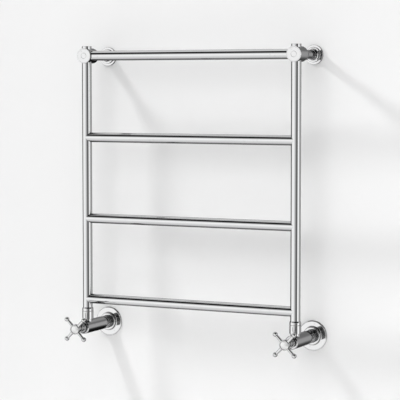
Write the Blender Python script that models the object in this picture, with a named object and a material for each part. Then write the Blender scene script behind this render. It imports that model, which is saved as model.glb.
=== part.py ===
"""Wall-hung heated towel rail with two crosshead angle valves. Metres, +Z up.

The origin is on the wall plane, midway between the two valve inlets. +Y goes into the wall.
Along each valve and bracket, "ahead" is measured from the post's axis towards the room.
"""

import math

import bmesh
import bpy
from mathutils import Vector

# Overall sizes
PIPE_CENTRES = 0.600
WALL_GAP = 0.115
RAIL_COUNT = 4
RAIL_PITCH = 0.214
FIRST_RAIL = 0.075
GAP = 0.0003
LOOSE = 0.0004

# Heating frame
TUBE_RADIUS = 0.0127
TUBE_WALL = 0.0015
WATERWAY_RADIUS = 0.0075
BARREL_WALL = 0.0073
BARREL_FRONT_WALL = 0.0018
BARREL_REAR_WALL = 0.015
BARREL_CHAMFER = 0.0008
DISC_THICKNESS = 0.0017
DISC_RING_RADIUS = 0.0074
DISC_RING_DEPTH = 0.0003
POST_STUB = 0.0038
CAP_RIM = 0.0011
CAP_PLUG_DEPTH = 0.010
VENT_RADIUS = 0.0023
VENT_HEAD_RADIUS = 0.0040
VENT_HEAD_HEIGHT = 0.0020
VENT_KEY_RADIUS = 0.0024

# Wall brackets
SPIGOT_RADIUS = 0.0060
SPIGOT_LENGTH = 0.0135
FLARE_LENGTH = 0.032
FLARE_RIM = 0.0025
ARM_RADIUS = 0.0113
ARM_WALL = 0.0030
ARM_END = 0.013
WALL_BOSS_LENGTH = 0.039
WALL_BOSS_BASE = 0.0170
WALL_BOSS_BASE_THICKNESS = 0.0032
ROSE_RADIUS = 0.025
ROSE_RIM = 0.0024
ROSE_STEP_RADIUS = 0.0192
ROSE_STEP_HEIGHT = 0.0085
ROSE_NECK_WALL = 0.0014
ROSE_NECK_HEIGHT = 0.020
GRUB_RADIUS = 0.0021
GRUB_FROM_WALL = 0.028
WALL_SCREW_RADIUS = 0.0025
WALL_SCREW_HEAD_RADIUS = 0.0045
WALL_SCREW_HEAD_HEIGHT = 0.0038
WALL_SCREW_IN_WALL = 0.035

# Valve body and the parts behind it
BODY_RADIUS = 0.0175
BODY_FRONT = 0.026
BODY_REAR = 0.070
BODY_CHAMFER = 0.0024
CHAMBER_RADIUS = 0.0105
CHAMBER_DEPTH = 0.036
SEAT_RADIUS = 0.0062
SEAT_LIP = 0.0010
PIPE_RADIUS = 0.0075
PIPE_STOP = 0.046
NIPPLE_WALL = 0.0035
NIPPLE_LENGTH = 0.008
COMPRESSION_NUT_WALL = 0.0055
COMPRESSION_NUT_LENGTH = 0.0197
NUT_GROOVE = 0.0008
OLIVE_LENGTH = 0.0055
OLIVE_THICKNESS = 0.0017
SLEEVE_RADIUS = 0.0168
SLEEVE_WALL = 0.0013
WALL_ROSE_RADIUS = 0.039
WALL_ROSE_THICKNESS = 0.0036
WALL_ROSE_RING_RADIUS = 0.0235
WALL_ROSE_RING_HEIGHT = 0.012

# Valve outlet and the foot of the post
NECK_RADIUS = 0.0122
NECK_HEIGHT = 0.0105
OUTLET_RADIUS = 0.0065
UNION_NUT_WALL = 0.0021
UNION_NUT_LIFT = 0.0029
UNION_NUT_SHOULDER = 0.0095
TAIL_RADIUS = 0.0077
TAIL_WALL = 0.0021
TAIL_FLANGE_RADIUS = 0.0106
TAIL_FLANGE_HEIGHT = 0.0032
TAIL_IN_BUSH = 0.014
BUSH_LENGTH = 0.017
FOOT_RING_WALL = 0.0017
FOOT_RING_HEIGHT = 0.0098

# Headgear
BONNET_RADIUS = 0.0122
BONNET_NECK_RADIUS = 0.0110
BONNET_FLANGE = 0.0067
BONNET_HEIGHT = 0.0117
BONNET_THREAD = 0.016
GLAND_RADIUS = 0.0072
GLAND_DEPTH = 0.0107
HEX_RADIUS = 0.0055
SPINDLE_RADIUS = 0.0040
SPINDLE_THREAD_RADIUS = 0.0034
THRUST_COLLAR = 0.0020
GLAND_RING_HEIGHT = 0.0026
GLAND_NUT_RADIUS = 0.0100
GLAND_NUT_HEIGHT = 0.0073
CARRIER_HEAD_RADIUS = 0.0088
CARRIER_HEAD = 0.0050
CARRIER_SHANK = 0.020
CARRIER_FLOOR = 0.005
CARRIER_STUD_RADIUS = 0.0020
PLUG_LIFT = 0.0038
WASHER_THICKNESS = 0.0034

# Crosshead
HUB_BACK = 0.0034
HUB_SKIRT_RADIUS = 0.0092
HUB_SKIRT = 0.0055
HUB_RADIUS = 0.0130
HUB_FLARE = 0.0070
HUB_RIM = 0.0078
HUB_DOME = 0.0012
SPINDLE_IN_HUB = 0.013
HUB_WEB = 0.0022
INDEX_RADIUS = 0.0104
INDEX_DOME = 0.0018
CROSS_SCREW_RADIUS = 0.0019
CROSS_SCREW_HEAD_RADIUS = 0.0040
CROSS_SCREW_HEAD = 0.0026
CROSS_SCREW_LENGTH = 0.0125
ARM_COUNT = 4
CROSS_ARM_ROOT = 0.0040
CROSS_ARM_TIP = 0.0033
CROSS_ARM_START = 0.0116
BALL_REACH = 0.036
BALL_RADIUS = 0.0060

# Facets round a turned piece
SIDES = 16
FINE_SIDES = 12
ARM_SIDES = 8

# Places along the valve, ahead of the post's axis
SEAT_AT = BODY_FRONT - CHAMBER_DEPTH + SEAT_LIP
WASHER_AT = SEAT_AT + GAP
HEAD_AT = WASHER_AT + WASHER_THICKNESS + GAP
SHANK_AT = HEAD_AT + CARRIER_HEAD
BONNET_AT = BODY_FRONT + GAP
BONNET_TOP = BONNET_AT + BONNET_HEIGHT
COLLAR_AT = BONNET_TOP - GLAND_DEPTH + GAP
GLAND_RING_AT = COLLAR_AT + THRUST_COLLAR + GAP
GLAND_NOSE_AT = GLAND_RING_AT + GLAND_RING_HEIGHT + LOOSE
GLAND_NUT_AT = BONNET_TOP + GAP
GLAND_NUT_TOP = GLAND_NUT_AT + GLAND_NUT_HEIGHT
HUB_AT = GLAND_NUT_TOP + HUB_BACK
SPINDLE_TOP = HUB_AT + SPINDLE_IN_HUB
WEB_AT = SPINDLE_TOP + GAP
WEB_TOP = WEB_AT + HUB_WEB
ARM_PLANE = HUB_AT + HUB_SKIRT + HUB_FLARE + HUB_RIM / 2
HUB_TOP = HUB_AT + HUB_SKIRT + HUB_FLARE + HUB_RIM + HUB_DOME
NIPPLE_RADIUS = PIPE_RADIUS + NIPPLE_WALL

# Heights at the foot of the post, above the valve's axis
NECK_TOP = BODY_RADIUS + NECK_HEIGHT
TAIL_AT = NECK_TOP + GAP
NUT_SHOULDER_AT = TAIL_AT + TAIL_FLANGE_HEIGHT + LOOSE
UNION_NUT_TOP = NUT_SHOULDER_AT + UNION_NUT_SHOULDER
FOOT_RADIUS = max(NECK_RADIUS + LOOSE + UNION_NUT_WALL, TUBE_RADIUS + GAP + FOOT_RING_WALL)
FOOT_RING_AT = UNION_NUT_TOP + LOOSE
POST_FOOT = FOOT_RING_AT + LOOSE

# Frame places
BARREL_RADIUS = TUBE_RADIUS + BARREL_WALL
BARREL_FRONT = TUBE_RADIUS + BARREL_FRONT_WALL
BARREL_REAR = TUBE_RADIUS + BARREL_REAR_WALL
TOP_RAIL = FIRST_RAIL + (RAIL_COUNT - 1) * RAIL_PITCH
POST_TOP = TOP_RAIL + BARREL_RADIUS + POST_STUB
CHROME = ((0.78, 0.79, 0.80), 0.06, 1.0)
BRASS = ((0.72, 0.55, 0.27), 0.32, 1.0)
ZINC = ((0.62, 0.62, 0.60), 0.38, 1.0)
RUBBER = ((0.025, 0.025, 0.027), 0.75, 0.0)


def clear_scene():
    for obj in list(bpy.data.objects):
        bpy.data.objects.remove(obj)


def material(name, finish):
    colour, roughness, metallic = finish
    mat = bpy.data.materials.new(name)
    mat.use_nodes = True
    shader = mat.node_tree.nodes["Principled BSDF"]
    shader.inputs["Base Color"].default_value = (*colour, 1.0)
    shader.inputs["Roughness"].default_value = roughness
    shader.inputs["Metallic"].default_value = metallic
    return mat


def new_object(name, mesh_builder, finish=None):
    """One object from a filled bmesh. With no finish it is a cutter or a shape to add."""
    bmesh.ops.recalc_face_normals(mesh_builder, faces=mesh_builder.faces[:])
    mesh = bpy.data.meshes.new(name)
    mesh_builder.to_mesh(mesh)
    mesh_builder.free()
    obj = bpy.data.objects.new(name, mesh)
    bpy.context.scene.collection.objects.link(obj)
    if finish is None:
        obj.hide_render = True
        obj.display_type = "WIRE"
    else:
        mesh.materials.append(material(name, finish))
        mesh.shade_smooth()
        mesh.set_sharp_from_angle(angle=math.radians(35))
    return obj


def spin_outline(bm, outline, sides):
    """Turns (radius, height) points about local Z. An outline that starts on the axis also ends on it."""
    points = [bm.verts.new((radius, 0.0, height)) for radius, height in outline]
    edges = [bm.edges.new(pair) for pair in zip(points, points[1:])]
    if outline[0][0] > 0:
        edges.append(bm.edges.new((points[-1], points[0])))
    bmesh.ops.spin(bm, geom=points + edges, axis=(0, 0, 1), cent=(0, 0, 0), angle=math.tau,
                   steps=sides, use_merge=True)
    bmesh.ops.remove_doubles(bm, verts=bm.verts[:], dist=1e-6)


def turned(name, outline, parent, finish=None, sides=SIDES, location=(0, 0, 0), rotation=(0, 0, 0)):
    bm = bmesh.new()
    spin_outline(bm, outline, sides)
    obj = new_object(name, bm, finish)
    obj.location = location
    obj.rotation_euler = rotation
    obj.parent = parent
    return obj


def rod(name, radius, start, end, parent, sides=SIDES, location=(0, 0, 0), rotation=(0, 0, 0)):
    """A plain solid cylinder used to cut or to add."""
    outline = [(0, start), (radius, start), (radius, end), (0, end)]
    return turned(name, outline, parent, None, sides, location, rotation)


def combine(obj, other, operation):
    step = obj.modifiers.new(other.name, "BOOLEAN")
    step.operation = operation
    step.solver = "EXACT"
    step.object = other


def cut(obj, cutter):
    combine(obj, cutter, "DIFFERENCE")


def axis_empty(name, location, rotation=(0, 0, 0)):
    """An empty on a piece's axis. Turned a quarter about X, its local Z points into the room."""
    empty = bpy.data.objects.new(name, None)
    bpy.context.scene.collection.objects.link(empty)
    empty.location = location
    empty.rotation_euler = rotation
    return empty


def arc(centre, radius, start, end, count):
    """Points on an arc in an outline, with angles in degrees from the radius direction."""
    angles = [math.radians(start + (end - start) * i / count) for i in range(count + 1)]
    return [(centre[0] + radius * math.cos(a), centre[1] + radius * math.sin(a)) for a in angles]


INTO_ROOM = (math.pi / 2, 0, 0)
ALONG_X = (0, math.pi / 2, 0)


def make_post(side, post):
    inner = TUBE_RADIUS - TUBE_WALL
    tube = [(inner, POST_FOOT), (TUBE_RADIUS, POST_FOOT), (TUBE_RADIUS, POST_TOP), (inner, POST_TOP)]
    body = turned(f"post_{side}", tube, post, CHROME)
    inward = 1 if side == "left" else -1
    for i in range(RAIL_COUNT):
        hole = rod(f"waterway_{side}_{i + 1}", WATERWAY_RADIUS, 0, 2 * TUBE_RADIUS, post, FINE_SIDES,
                   (0, 0, FIRST_RAIL + i * RAIL_PITCH), (0, inward * math.pi / 2, 0))
        cut(body, hole)


def make_post_foot(side, post):
    bush_radius = TUBE_RADIUS - TUBE_WALL - GAP
    thread = TAIL_RADIUS + GAP
    bush = [(thread, POST_FOOT), (bush_radius, POST_FOOT), (bush_radius, POST_FOOT + BUSH_LENGTH),
            (thread, POST_FOOT + BUSH_LENGTH)]
    turned(f"foot_bush_{side}", bush, post, BRASS, FINE_SIDES)
    inner = TUBE_RADIUS + GAP
    outer = FOOT_RADIUS
    bevel = 0.85 * FOOT_RING_WALL
    top = FOOT_RING_AT + FOOT_RING_HEIGHT
    ring = [(inner, FOOT_RING_AT), (outer - GAP, FOOT_RING_AT), (outer, FOOT_RING_AT + GAP),
            (outer, top - 2.3 * bevel), (outer - bevel, top), (inner, top)]
    turned(f"foot_ring_{side}", ring, post, CHROME)


def make_post_cap(side, post, vented):
    """Plug of the post's open top. The vented one holds the bleed screw in its middle."""
    plug = TUBE_RADIUS - TUBE_WALL - GAP
    rim = POST_TOP + GAP
    top = rim + CAP_RIM
    edge = CAP_RIM / 3
    outline = [(plug, POST_TOP - CAP_PLUG_DEPTH), (plug, rim), (TUBE_RADIUS, rim),
               (TUBE_RADIUS, top - edge), (TUBE_RADIUS - edge, top)]
    if not vented:
        turned(f"post_cap_{side}", [(0, POST_TOP - CAP_PLUG_DEPTH), *outline, (0, top)], post, CHROME)
        return
    bore = VENT_RADIUS + GAP
    pocket = VENT_HEAD_RADIUS + GAP
    floor = top - VENT_HEAD_HEIGHT - 2 * GAP
    outline = [(bore, POST_TOP - CAP_PLUG_DEPTH), *outline, (pocket, top), (pocket, floor), (bore, floor)]
    turned(f"post_cap_{side}", outline, post, CHROME)
    head = floor + GAP
    screw = [(0, POST_TOP - CAP_PLUG_DEPTH), (VENT_RADIUS, POST_TOP - CAP_PLUG_DEPTH),
             (VENT_RADIUS, head),
             (VENT_HEAD_RADIUS, head), (VENT_HEAD_RADIUS, head + VENT_HEAD_HEIGHT),
             (0, head + VENT_HEAD_HEIGHT)]
    vent = turned("vent_screw", screw, post, BRASS, FINE_SIDES)
    depth = 0.6 * VENT_HEAD_HEIGHT
    cut(vent, rod("vent_key", VENT_KEY_RADIUS, head + VENT_HEAD_HEIGHT - depth, top + depth, post, 4))


def make_rails():
    """Cross tubes whose ends are cut to the round of the posts."""
    half = PIPE_CENTRES / 2
    inner = TUBE_RADIUS - TUBE_WALL
    tube = [(inner, -half), (TUBE_RADIUS, -half), (TUBE_RADIUS, half), (inner, half)]
    bottom = FIRST_RAIL - RAIL_PITCH
    top = TOP_RAIL + RAIL_PITCH
    saddles = [rod(f"saddle_{i}", TUBE_RADIUS + GAP, bottom, top, None, SIDES, (x, -WALL_GAP, 0))
               for i, x in enumerate((-half, half))]
    for i in range(RAIL_COUNT):
        place = (0, -WALL_GAP, FIRST_RAIL + i * RAIL_PITCH)
        rail = turned(f"rail_{i + 1}", tube, None, CHROME, SIDES, place, ALONG_X)
        for saddle in saddles:
            cut(rail, saddle)


def make_joint(side, bracket):
    """Barrel that the post and the top rail pass into, with its front disc."""
    edge = BARREL_CHAMFER
    outline = [(0, -BARREL_REAR), (BARREL_RADIUS - edge, -BARREL_REAR),
               (BARREL_RADIUS, edge - BARREL_REAR),
               (BARREL_RADIUS, BARREL_FRONT - edge), (BARREL_RADIUS - edge, BARREL_FRONT),
               (0, BARREL_FRONT)]
    barrel = turned(f"joint_barrel_{side}", outline, bracket, CHROME)
    socket = TUBE_RADIUS + GAP
    reach = 2 * BARREL_RADIUS
    inward = 1 if side == "left" else -1
    cut(barrel, rod(f"post_socket_{side}", socket, -reach, reach, bracket, SIDES, (0, 0, 0), INTO_ROOM))
    cut(barrel, rod(f"rail_socket_{side}", socket, 0, reach, bracket, SIDES, (0, 0, 0),
                    (0, inward * math.pi / 2, 0)))
    cut(barrel, rod(f"spigot_socket_{side}", SPIGOT_RADIUS + GAP, -reach, 0, bracket, FINE_SIDES))
    back = BARREL_FRONT + GAP
    front = back + DISC_THICKNESS
    step = DISC_RING_DEPTH
    ring = DISC_RING_RADIUS
    disc = [(0, back), (BARREL_RADIUS, back), (BARREL_RADIUS, front - 2 * step),
            (BARREL_RADIUS - 2 * step, front),
            (ring + 2 * step, front), (ring + step, front - step), (ring, front - step),
            (ring - step, front),
            (0, front)]
    turned(f"front_disc_{side}", disc, bracket, CHROME)


def make_bracket(side, bracket):
    """Flared arm, its rose, and the boss and screws that hold it to the wall."""
    wall = -WALL_GAP
    start = -BARREL_REAR - GAP
    narrow = start - FLARE_LENGTH
    end = wall + ARM_END
    bore = ARM_RADIUS - ARM_WALL
    boss_top = wall + WALL_BOSS_LENGTH
    wide = BARREL_RADIUS - BARREL_CHAMFER
    drop = wide - ARM_RADIUS
    run = FLARE_LENGTH - FLARE_RIM
    flare = [(ARM_RADIUS + drop * (1 - math.sin(math.radians(a))),
              narrow + run * (1 - math.sin(math.radians(90 - a)))) for a in range(0, 91, 30)]
    outline = [(0, start + SPIGOT_LENGTH), (SPIGOT_RADIUS, start + SPIGOT_LENGTH), (SPIGOT_RADIUS, start),
               (wide, start)]
    outline += [(radius, start - FLARE_RIM - (height - narrow)) for radius, height in flare]
    outline += [(ARM_RADIUS, end), (bore, end), (bore, boss_top + LOOSE), (0, boss_top + LOOSE)]
    arm = turned(f"bracket_arm_{side}", outline, bracket, CHROME)
    grub_at = (0, 0, wall + GRUB_FROM_WALL)
    downward = (math.pi / 2, 0, 0)
    cut(arm, rod(f"grub_hole_{side}", GRUB_RADIUS + GAP, 0, 2 * ARM_RADIUS, bracket, FINE_SIDES,
                 grub_at, downward))

    tip = bore - GAP
    grub = [(0, tip), (0.6 * GRUB_RADIUS, tip), (GRUB_RADIUS, tip + 0.4 * GRUB_RADIUS),
            (GRUB_RADIUS, ARM_RADIUS),
            (0, ARM_RADIUS)]
    screw = turned(f"grub_screw_{side}", grub, bracket, ZINC, FINE_SIDES, grub_at, downward)
    cut(screw, rod(f"grub_key_{side}", GRUB_RADIUS / 2, ARM_RADIUS - GRUB_RADIUS / 2, 2 * ARM_RADIUS,
                   bracket, 6,
                   grub_at, downward))

    hole = WALL_SCREW_RADIUS + GAP
    pocket = WALL_SCREW_HEAD_RADIUS + GAP
    seat = boss_top - WALL_SCREW_HEAD_HEIGHT - GAP
    base = wall + GAP
    base_top = base + WALL_BOSS_BASE_THICKNESS
    spigot = bore - 2 * GAP
    boss = [(hole, base), (WALL_BOSS_BASE, base), (WALL_BOSS_BASE, base_top), (spigot, base_top),
            (spigot, boss_top), (pocket, boss_top), (pocket, seat), (hole, seat - pocket + hole)]
    turned(f"wall_boss_{side}", boss, bracket, ZINC, FINE_SIDES)

    head = WALL_SCREW_HEAD_RADIUS
    shank = WALL_SCREW_RADIUS
    under = seat + GAP
    screw = [(0, boss_top), (head - GAP, boss_top), (head, boss_top - GAP), (head, under),
             (shank, under - head + shank), (shank, wall - WALL_SCREW_IN_WALL + 2 * shank),
             (0, wall - WALL_SCREW_IN_WALL)]
    fixing = turned(f"wall_screw_{side}", screw, bracket, ZINC, FINE_SIDES)
    cut(fixing, rod(f"wall_screw_key_{side}", head / 2, boss_top - WALL_SCREW_HEAD_HEIGHT / 2,
                    boss_top + head,
                    bracket, 6))

    make_rose(side, bracket, wall, base_top)


def make_rose(side, bracket, wall, base_top):
    bore = ARM_RADIUS + GAP
    hollow = WALL_BOSS_BASE + 2 * LOOSE
    step = wall + ROSE_STEP_HEIGHT
    neck = bore + ROSE_NECK_WALL
    neck_top = wall + ROSE_NECK_HEIGHT
    rim = wall + ROSE_RIM
    edge = ROSE_RIM / 2
    plate = rim + 2 * edge
    rose = [(hollow, wall), (ROSE_RADIUS, wall), (ROSE_RADIUS, rim + edge), (ROSE_RADIUS - edge, plate),
            (ROSE_STEP_RADIUS, plate), (ROSE_STEP_RADIUS, step - edge), (ROSE_STEP_RADIUS - edge, step),
            (neck + edge, step + edge / 2), (neck, step + 2 * edge), (neck, neck_top), (bore, neck_top),
            (bore, base_top + GAP), (hollow, base_top + GAP)]
    turned(f"bracket_rose_{side}", rose, bracket, CHROME)


def make_body(side, valve):
    """Valve body: a round bar, bored from both ends, with the outlet neck on top."""
    edge = BODY_CHAMFER
    rear = -BODY_REAR
    tip = rear - NIPPLE_LENGTH
    outline = [(0, tip), (NIPPLE_RADIUS, tip), (NIPPLE_RADIUS, rear), (BODY_RADIUS - edge / 2, rear),
               (BODY_RADIUS, rear + edge / 2), (BODY_RADIUS, BODY_FRONT - edge),
               (BODY_RADIUS - edge, BODY_FRONT), (0, BODY_FRONT)]
    body = turned(f"valve_body_{side}", outline, valve, CHROME)
    upward = (-math.pi / 2, 0, 0)
    neck = rod(f"outlet_neck_{side}", NECK_RADIUS, 0, NECK_TOP, valve, FINE_SIDES, (0, 0, 0), upward)
    combine(body, neck, "UNION")
    floor = BODY_FRONT - CHAMBER_DEPTH
    pipe = PIPE_RADIUS + GAP
    lip = SEAT_RADIUS + SEAT_LIP
    bore = [(0, tip - edge), (pipe, tip - edge), (pipe, -PIPE_STOP), (SEAT_RADIUS, -PIPE_STOP),
            (SEAT_RADIUS, SEAT_AT), (lip, SEAT_AT), (lip + SEAT_LIP, floor), (CHAMBER_RADIUS, floor),
            (CHAMBER_RADIUS, BODY_FRONT + edge), (0, BODY_FRONT + edge)]
    cut(body, turned(f"body_bore_{side}", bore, valve))
    cut(body, rod(f"outlet_bore_{side}", OUTLET_RADIUS, 0, NECK_TOP + edge, valve, FINE_SIDES,
                  (0, 0, 0), upward))


def make_inlet(side, valve):
    """What joins the house's pipe to the body and covers it up to the wall."""
    pipe = PIPE_RADIUS + GAP
    start = -BODY_REAR - GAP
    end = start - COMPRESSION_NUT_LENGTH
    bore = NIPPLE_RADIUS + GAP
    outer = bore + COMPRESSION_NUT_WALL
    nipple_end = -BODY_REAR - NIPPLE_LENGTH
    olive_end = nipple_end - GAP - OLIVE_LENGTH
    groove = NUT_GROOVE
    middle = start - COMPRESSION_NUT_LENGTH / 2
    nut = [(bore, start), (outer, start), (outer, middle + groove), (outer - groove, middle),
           (outer, middle - groove)]
    cone = bore - pipe - OLIVE_THICKNESS
    nut += [(outer, end + groove), (outer - groove, end), (pipe, end), (pipe, olive_end - GAP),
            (pipe + OLIVE_THICKNESS, olive_end - GAP), (bore, olive_end + cone)]
    turned(f"compression_nut_{side}", nut, valve, CHROME)

    thick = OLIVE_THICKNESS
    olive = [(pipe, nipple_end - GAP), (pipe + thick / 2, nipple_end - GAP),
             (pipe + thick, nipple_end - GAP - OLIVE_LENGTH / 3),
             (pipe + thick, olive_end + OLIVE_LENGTH / 3),
             (pipe + thick / 2, olive_end), (pipe, olive_end)]
    turned(f"olive_{side}", olive, valve, BRASS)

    inner = SLEEVE_RADIUS - SLEEVE_WALL
    sleeve = [(inner, end - GAP), (SLEEVE_RADIUS, end - GAP), (SLEEVE_RADIUS, GAP - WALL_GAP),
              (inner, GAP - WALL_GAP)]
    turned(f"pipe_sleeve_{side}", sleeve, valve, CHROME)

    wall = -WALL_GAP
    bore = SLEEVE_RADIUS + GAP
    face = wall + WALL_ROSE_THICKNESS
    edge = WALL_ROSE_THICKNESS / 3
    ring = WALL_ROSE_RING_RADIUS
    top = wall + WALL_ROSE_RING_HEIGHT
    rose = [(bore, wall), (WALL_ROSE_RADIUS, wall), (WALL_ROSE_RADIUS, wall + edge),
            (WALL_ROSE_RADIUS - edge, face - edge / 2), (WALL_ROSE_RADIUS - 2 * edge, face),
            (ring + edge, face),
            (ring, face + edge), (ring, top - 2 * edge), (ring - edge / 2, top - edge / 2),
            (ring - 2 * edge, top),
            (bore, top)]
    turned(f"wall_rose_{side}", rose, valve, CHROME)


def make_union(side, post):
    """Tail pipe in the post's bush, and the nut that pulls it down on the body's neck."""
    bore = TAIL_RADIUS - TAIL_WALL
    cone = TAIL_FLANGE_RADIUS - (TAIL_FLANGE_HEIGHT - 2 * GAP) / 2
    tail_top = POST_FOOT + TAIL_IN_BUSH
    flange_top = TAIL_AT + TAIL_FLANGE_HEIGHT
    tail = [(bore, TAIL_AT), (TAIL_FLANGE_RADIUS, TAIL_AT),
            (TAIL_FLANGE_RADIUS, (TAIL_AT + flange_top) / 2),
            (cone, flange_top), (TAIL_RADIUS, flange_top), (TAIL_RADIUS, tail_top), (bore, tail_top)]
    turned(f"tail_pipe_{side}", tail, post, BRASS, FINE_SIDES)

    inner = NECK_RADIUS + LOOSE
    outer = FOOT_RADIUS
    foot = BODY_RADIUS + UNION_NUT_LIFT
    edge = UNION_NUT_WALL / 3
    hole = TAIL_RADIUS + LOOSE
    nut = [(inner, foot), (outer - edge, foot), (outer, foot + edge), (outer, UNION_NUT_TOP - edge),
           (outer - edge, UNION_NUT_TOP), (hole, UNION_NUT_TOP), (hole, NUT_SHOULDER_AT),
           (inner, NUT_SHOULDER_AT)]
    turned(f"union_nut_{side}", nut, post, CHROME)


def make_headgear(side, valve):
    """Bonnet, gland nut and gland ring, which stay still on the body."""
    thread = CHAMBER_RADIUS - GAP
    top = BONNET_TOP
    chamber = top - GLAND_DEPTH
    flange = BONNET_AT + BONNET_FLANGE
    bottom = BONNET_AT - BONNET_THREAD
    step = BONNET_RADIUS - BONNET_NECK_RADIUS
    bonnet = [(thread, bottom), (thread, BONNET_AT), (BONNET_RADIUS, BONNET_AT),
              (BONNET_RADIUS, flange - step / 2),
              (BONNET_RADIUS - step / 2, flange), (BONNET_NECK_RADIUS, flange),
              (BONNET_NECK_RADIUS, top - step / 3),
              (BONNET_NECK_RADIUS - step / 3, top), (GLAND_RADIUS, top), (GLAND_RADIUS, chamber),
              (SPINDLE_RADIUS, chamber), (SPINDLE_RADIUS, bottom)]
    shell = turned(f"bonnet_{side}", bonnet, valve, CHROME)
    hex_bore = HEX_RADIUS + GAP / math.cos(math.pi / 6)
    cut(shell, rod(f"hex_bore_{side}", hex_bore, bottom - step, chamber + GAP, valve, 6))

    hole = SPINDLE_RADIUS + GAP
    nose = GLAND_RADIUS - GAP
    ring = [(hole, GLAND_RING_AT), (nose, GLAND_RING_AT), (nose, GLAND_RING_AT + GLAND_RING_HEIGHT),
            (hole, GLAND_RING_AT + GLAND_RING_HEIGHT)]
    turned(f"gland_ring_{side}", ring, valve, RUBBER, FINE_SIDES)
    edge = GLAND_NUT_HEIGHT / 7
    nut = [(hole, GLAND_NOSE_AT), (nose, GLAND_NOSE_AT), (nose, GLAND_NUT_AT),
           (GLAND_NUT_RADIUS, GLAND_NUT_AT),
           (GLAND_NUT_RADIUS, GLAND_NUT_TOP - edge), (GLAND_NUT_RADIUS - edge, GLAND_NUT_TOP),
           (hole, GLAND_NUT_TOP)]
    turned(f"gland_nut_{side}", nut, valve, CHROME, FINE_SIDES)


def make_plug(side, valve):
    """Plug carrier, kept from turning by its hexagon, and its rubber washer."""
    stud = CARRIER_STUD_RADIUS
    head = [(0, WASHER_AT + GAP), (stud, WASHER_AT + GAP), (stud, HEAD_AT),
            (CARRIER_HEAD_RADIUS, HEAD_AT),
            (CARRIER_HEAD_RADIUS, SHANK_AT), (0, SHANK_AT)]
    carrier = turned(f"plug_carrier_{side}", head, valve, BRASS, FINE_SIDES)
    combine(carrier, rod(f"carrier_hex_{side}", HEX_RADIUS, HEAD_AT + CARRIER_HEAD / 2,
                         SHANK_AT + CARRIER_SHANK,
                         valve, 6), "UNION")
    cut(carrier, rod(f"carrier_thread_{side}", SPINDLE_THREAD_RADIUS + GAP, SHANK_AT + CARRIER_FLOOR,
                     SHANK_AT + 2 * CARRIER_SHANK, valve, FINE_SIDES))
    outer = SEAT_RADIUS + 2 * SEAT_LIP + GAP
    hole = stud + GAP
    washer = [(hole, WASHER_AT), (outer, WASHER_AT), (outer, WASHER_AT + WASHER_THICKNESS),
              (hole, WASHER_AT + WASHER_THICKNESS)]
    turned(f"plug_washer_{side}", washer, valve, RUBBER, FINE_SIDES)


def make_spindle(side, valve):
    bore = CROSS_SCREW_RADIUS + GAP
    bottom = SHANK_AT + CARRIER_FLOOR + PLUG_LIFT + LOOSE
    collar = GLAND_RADIUS - LOOSE
    screw_end = WEB_TOP + GAP - CROSS_SCREW_LENGTH
    spindle = [(0, bottom), (SPINDLE_THREAD_RADIUS, bottom), (SPINDLE_THREAD_RADIUS, COLLAR_AT),
               (collar, COLLAR_AT),
               (collar, COLLAR_AT + THRUST_COLLAR), (SPINDLE_RADIUS, COLLAR_AT + THRUST_COLLAR),
               (SPINDLE_RADIUS, SPINDLE_TOP), (bore, SPINDLE_TOP), (bore, screw_end - 2 * bore / 3),
               (0, screw_end - 2 * bore / 3)]
    turned(f"spindle_{side}", spindle, valve, BRASS, FINE_SIDES)


def crosshead_arms(name, valve):
    """Four tapered arms with ball ends, turned and set at 45 degrees to the post."""
    bm = bmesh.new()
    neck = math.degrees(math.asin(CROSS_ARM_TIP / BALL_RADIUS))
    arm = [(0, CROSS_ARM_START), (CROSS_ARM_ROOT, CROSS_ARM_START)]
    arm += arc((0, BALL_REACH), BALL_RADIUS, neck - 90, 90, 5)[:-1]
    arm.append((0, BALL_REACH + BALL_RADIUS))
    for i in range(ARM_COUNT):
        part = bmesh.new()
        spin_outline(part, arm, ARM_SIDES)
        bmesh.ops.rotate(part, verts=part.verts[:], cent=(0, 0, 0), matrix=turn_to(i))
        bmesh.ops.translate(part, verts=part.verts[:], vec=(0, 0, ARM_PLANE))
        mesh = bpy.data.meshes.new(name)
        part.to_mesh(mesh)
        part.free()
        bm.from_mesh(mesh)
        bpy.data.meshes.remove(mesh)
    arms = new_object(name, bm)
    arms.parent = valve
    return arms


def turn_to(i):
    """Turns local Z out to arm number i, square to the valve's axis."""
    angle = math.tau * (i + 0.5) / ARM_COUNT
    outward = Vector((math.cos(angle), math.sin(angle), 0))
    return Vector((0, 0, 1)).rotation_difference(outward).to_matrix()


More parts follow.
